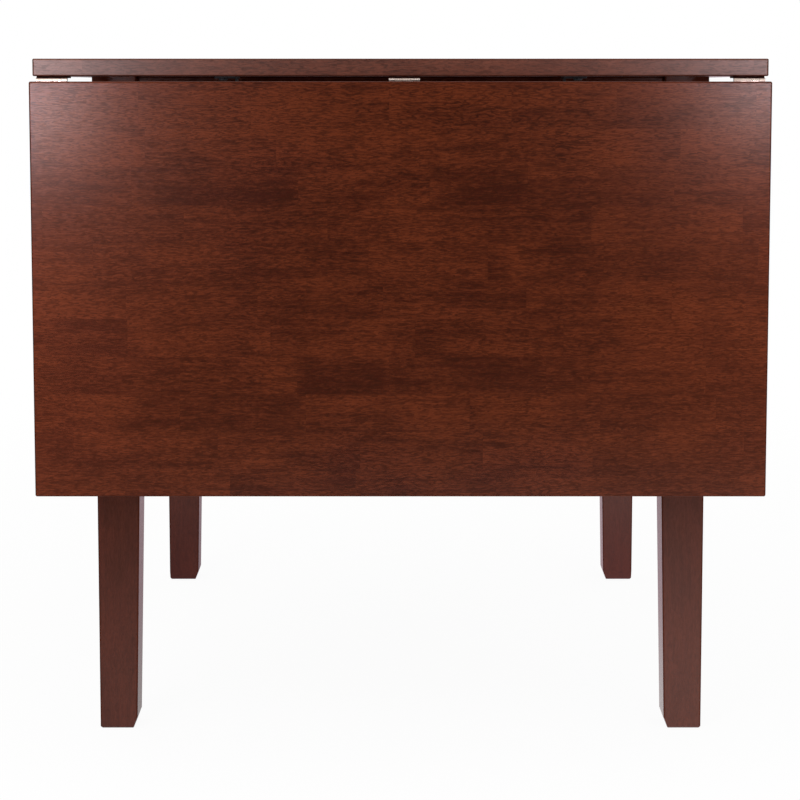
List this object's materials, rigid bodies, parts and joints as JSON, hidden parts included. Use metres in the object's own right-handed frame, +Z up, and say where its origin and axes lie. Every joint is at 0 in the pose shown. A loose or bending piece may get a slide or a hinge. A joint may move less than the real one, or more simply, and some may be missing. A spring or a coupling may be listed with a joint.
{
  "type": "drop-leaf dining table",
  "caption": "Rectangular wooden dining table on tapered legs, with a leaf hinged along one end that hangs or swings up level on slotted stays.",
  "frame": {"origin": "middle of the table's box on the floor, with the leaf hanging", "axes": "+Z up from the floor; -Y towards the end where the leaf hangs; +X to the right, seen from that end"},
  "size_m": [0.76, 1.061, 0.75],
  "materials": {
    "top_wood": "walnut stain under satin lacquer",
    "leaf_wood": "walnut stain under satin lacquer",
    "leg_wood": "walnut stain under satin lacquer",
    "apron_wood": "walnut stain under satin lacquer",
    "hinge_metal": "bright plated",
    "zinc_steel": "zinc plated",
    "stay_steel": "black lacquered"
  },
  "bodies": {
    "frame": {"fixed_top": "top_wood", "leg_front_left": "leg_wood", "leg_front_right": "leg_wood", "leg_rear_left": "leg_wood", "leg_rear_right": "leg_wood", "apron_front": "apron_wood", "apron_rear": "apron_wood", "apron_left": "apron_wood", "apron_right": "apron_wood", "corner_bracket_front_left": "zinc_steel", "corner_bracket_front_right": "zinc_steel", "corner_bracket_rear_left": "zinc_steel", "corner_bracket_rear_right": "zinc_steel", "hanger_bolts": "zinc_steel", "bolt_washers": "zinc_steel", "bolt_nuts": "zinc_steel", "corner_bracket_screws": "zinc_steel", "top_clips": "zinc_steel", "clip_screws_to_top": "zinc_steel", "clip_screws_to_aprons": "zinc_steel", "hinge_top_plate_left": "hinge_metal", "hinge_top_plate_middle": "hinge_metal", "hinge_top_plate_right": "hinge_metal", "hinge_pin_left": "hinge_metal", "hinge_pin_middle": "hinge_metal", "hinge_pin_right": "hinge_metal", "hinge_top_screws": "hinge_metal", "stay_top_bracket_left": "stay_steel", "stay_top_bracket_right": "stay_steel", "stay_stud_left": "zinc_steel", "stay_stud_right": "zinc_steel", "stay_stud_nuts": "zinc_steel", "stay_stud_washers": "zinc_steel", "stay_top_screws": "stay_steel"},
    "leaf": {"drop_leaf": "leaf_wood", "hinge_leaf_plate_left": "hinge_metal", "hinge_leaf_plate_middle": "hinge_metal", "hinge_leaf_plate_right": "hinge_metal", "hinge_leaf_screws": "hinge_metal", "stay_leaf_bracket_left": "stay_steel", "stay_leaf_bracket_right": "stay_steel", "stay_pivot_left": "zinc_steel", "stay_pivot_right": "zinc_steel", "stay_pivot_washers": "zinc_steel", "stay_leaf_screws": "stay_steel"},
    "stay_left": {"stay_arm_left": "stay_steel"},
    "stay_right": {"stay_arm_right": "stay_steel"}
  },
  "joints": [
    {"name": "leaf_hinge", "type": "hinge", "parent": "frame", "child": "leaf", "pos_m": [0, -0.5075, 0.727], "axis": [-1, 0, 0], "range_deg": [0, 90]},
    {"name": "stay_pivot_left", "type": "hinge", "parent": "leaf", "child": "stay_left", "pos_m": [-0.17, -0.5025, 0.65317], "axis": [-1, 0, 0], "range_deg": [-45, 0]},
    {"name": "stay_pivot_right", "type": "hinge", "parent": "leaf", "child": "stay_right", "pos_m": [0.17, -0.5025, 0.65317], "axis": [-1, 0, 0], "range_deg": [-45, 0]}
  ],
  "couplings": [
    {"joint": "stay_pivot_left", "follows": "leaf_hinge", "ratio": -0.5},
    {"joint": "stay_pivot_right", "follows": "leaf_hinge", "ratio": -0.5}
  ]
}
